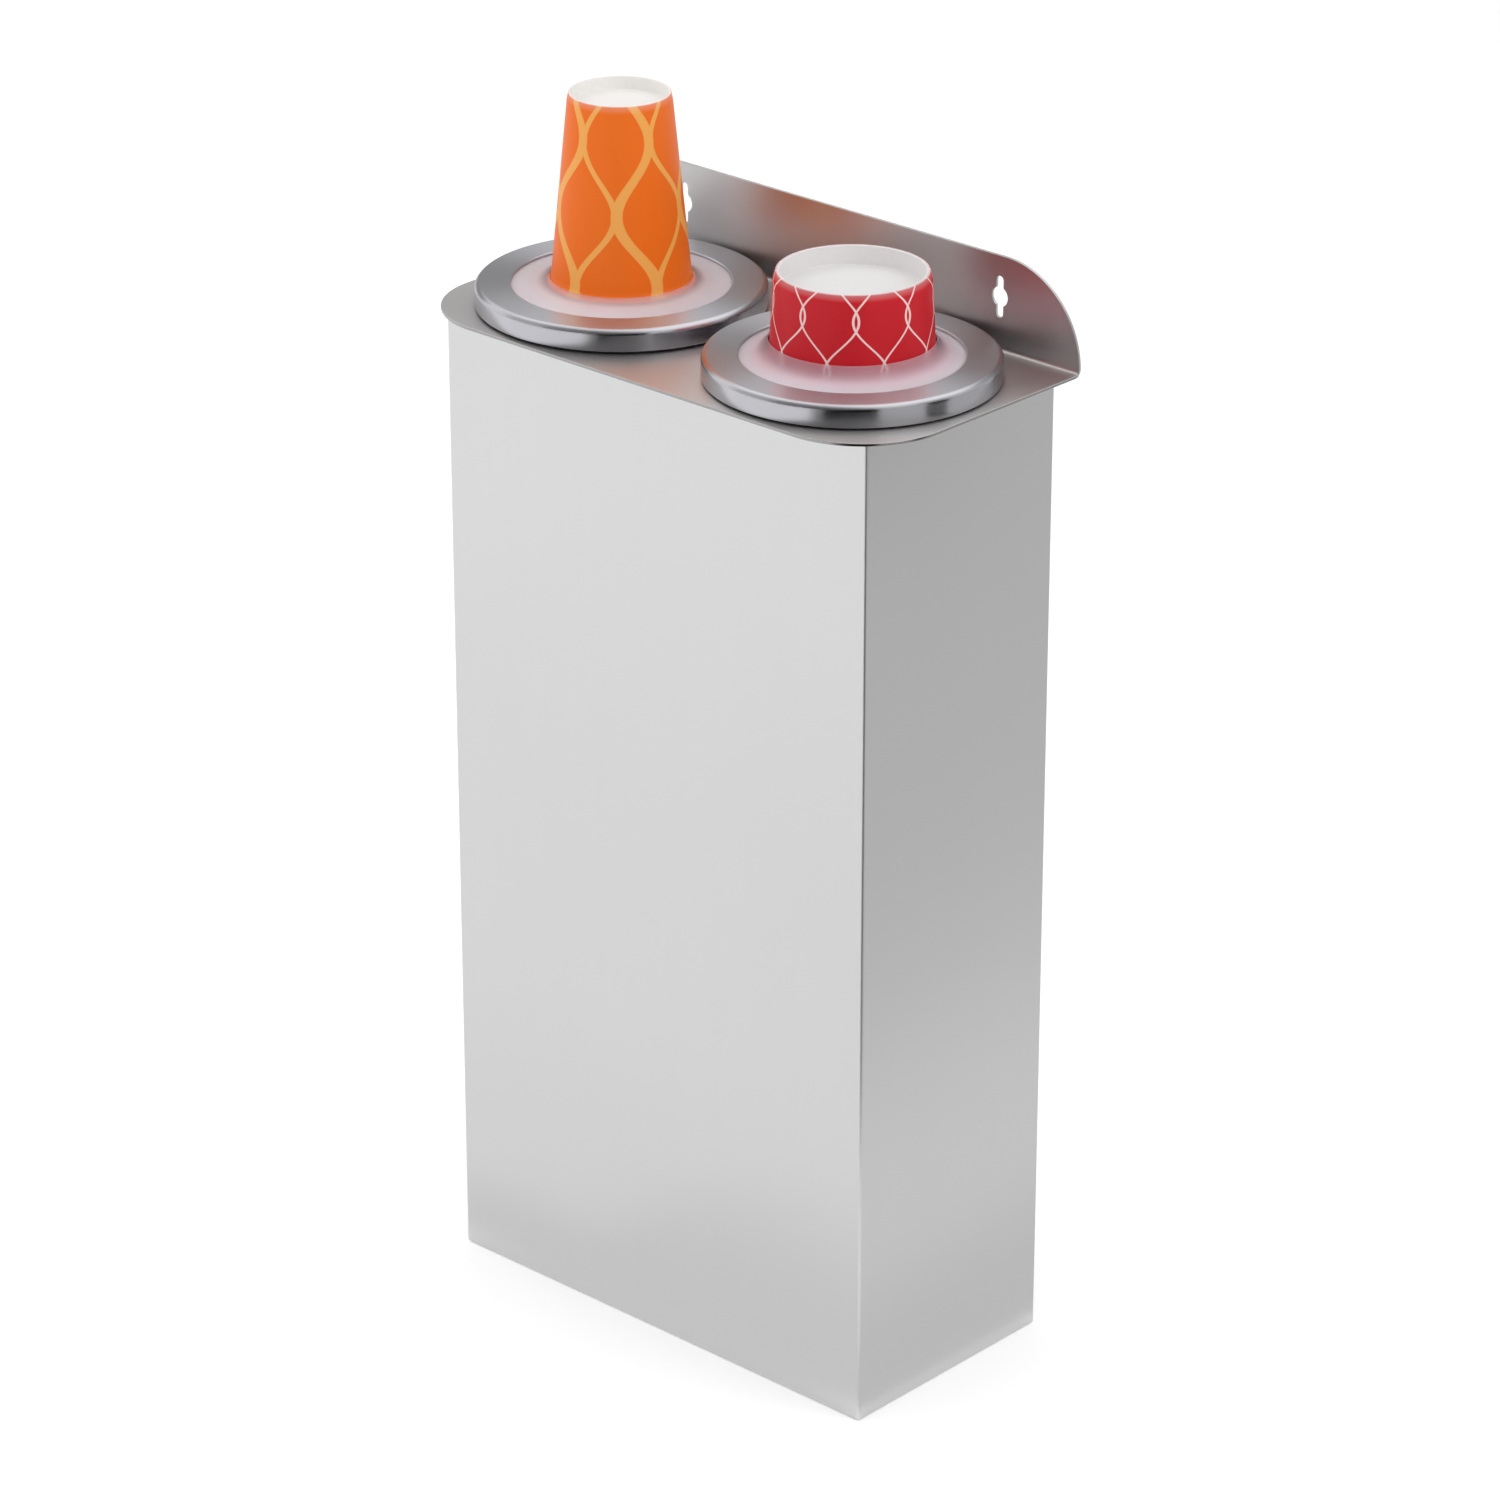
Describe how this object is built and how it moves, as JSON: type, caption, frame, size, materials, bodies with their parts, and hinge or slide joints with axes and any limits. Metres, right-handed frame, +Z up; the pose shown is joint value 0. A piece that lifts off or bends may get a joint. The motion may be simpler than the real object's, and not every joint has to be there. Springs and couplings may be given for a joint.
{
  "type": "cup dispenser",
  "caption": "Wall-hung stainless cup dispenser: two sprung stacks of upside-down paper cups rise through elastic lids in a plate with a wall flange.",
  "frame": {"origin": "on the floor face of the housing, midway between the two stacks and in the plane of their axes", "axes": "+Z up along the stacks, +X to the right seen from the front, -Y to the front, +Y to the wall"},
  "size_m": [0.294, 0.145, 0.604],
  "materials": {
    "housing_steel": "fine vertical brushed grain, satin",
    "plate_steel": "fine brushed grain along the width, half bright",
    "lid_steel": "circular brushed grain, half bright",
    "spring_steel": "drawn wire",
    "screw_steel": "machined",
    "black_plastic": "moulded, satin",
    "white_plastic": "moulded, satin",
    "membrane_silicone": "translucent milky silicone, satin",
    "orange_paper": "printed and coated cup board, soft gloss",
    "red_paper": "printed and coated cup board, soft gloss"
  },
  "bodies": {
    "housing": {"housing_shell": "housing_steel", "top_plate": "plate_steel", "back_panel": "housing_steel", "bottom_panel": "housing_steel", "back_screw_1": "screw_steel", "back_screw_2": "screw_steel", "back_screw_3": "screw_steel", "back_screw_4": "screw_steel", "floor_screw_1": "screw_steel", "floor_screw_2": "screw_steel", "floor_screw_3": "screw_steel", "floor_screw_4": "screw_steel", "left_collar": "black_plastic", "left_lock_ring": "black_plastic", "left_tube": "white_plastic", "left_tube_base": "black_plastic", "left_spring": "spring_steel", "right_collar": "black_plastic", "right_lock_ring": "black_plastic", "right_tube": "white_plastic", "right_tube_base": "black_plastic", "right_spring": "spring_steel"},
    "left_lid": {"left_lid_ring": "lid_steel", "left_lid_carrier": "black_plastic", "left_membrane": "membrane_silicone"},
    "right_lid": {"right_lid_ring": "lid_steel", "right_lid_carrier": "black_plastic", "right_membrane": "membrane_silicone"},
    "left_stack": {"left_lifter": "white_plastic", "left_nested_cup_1": "orange_paper", "left_nested_cup_2": "orange_paper"},
    "right_stack": {"right_lifter": "white_plastic", "right_nested_cup_1": "red_paper", "right_nested_cup_2": "red_paper"},
    "left_cup": {"left_top_cup": "orange_paper"},
    "right_cup": {"right_top_cup": "red_paper"}
  },
  "joints": [
    {"name": "left_lid_lift", "type": "slide", "parent": "housing", "child": "left_lid", "axis": [0, 0, 1], "range_m": [0, 0.13]},
    {"name": "right_lid_lift", "type": "slide", "parent": "housing", "child": "right_lid", "axis": [0, 0, 1], "range_m": [0, 0.13]},
    {"name": "left_stack_slide", "type": "slide", "parent": "housing", "child": "left_stack", "axis": [0, 0, 1], "range_m": [-0.4, 0], "stiffness_N_per_m": 10, "springref_m": 0.3, "deforming": ["left_spring"]},
    {"name": "right_stack_slide", "type": "slide", "parent": "housing", "child": "right_stack", "axis": [0, 0, 1], "range_m": [-0.4, 0], "stiffness_N_per_m": 10, "springref_m": 0.3, "deforming": ["right_spring"]},
    {"name": "left_cup_pull", "type": "slide", "parent": "left_stack", "child": "left_cup", "axis": [0, 0, 1], "range_m": [0, 0.1], "deforming": ["left_membrane"]},
    {"name": "right_cup_pull", "type": "slide", "parent": "right_stack", "child": "right_cup", "axis": [0, 0, 1], "range_m": [0, 0.06], "deforming": ["right_membrane"]}
  ]
}
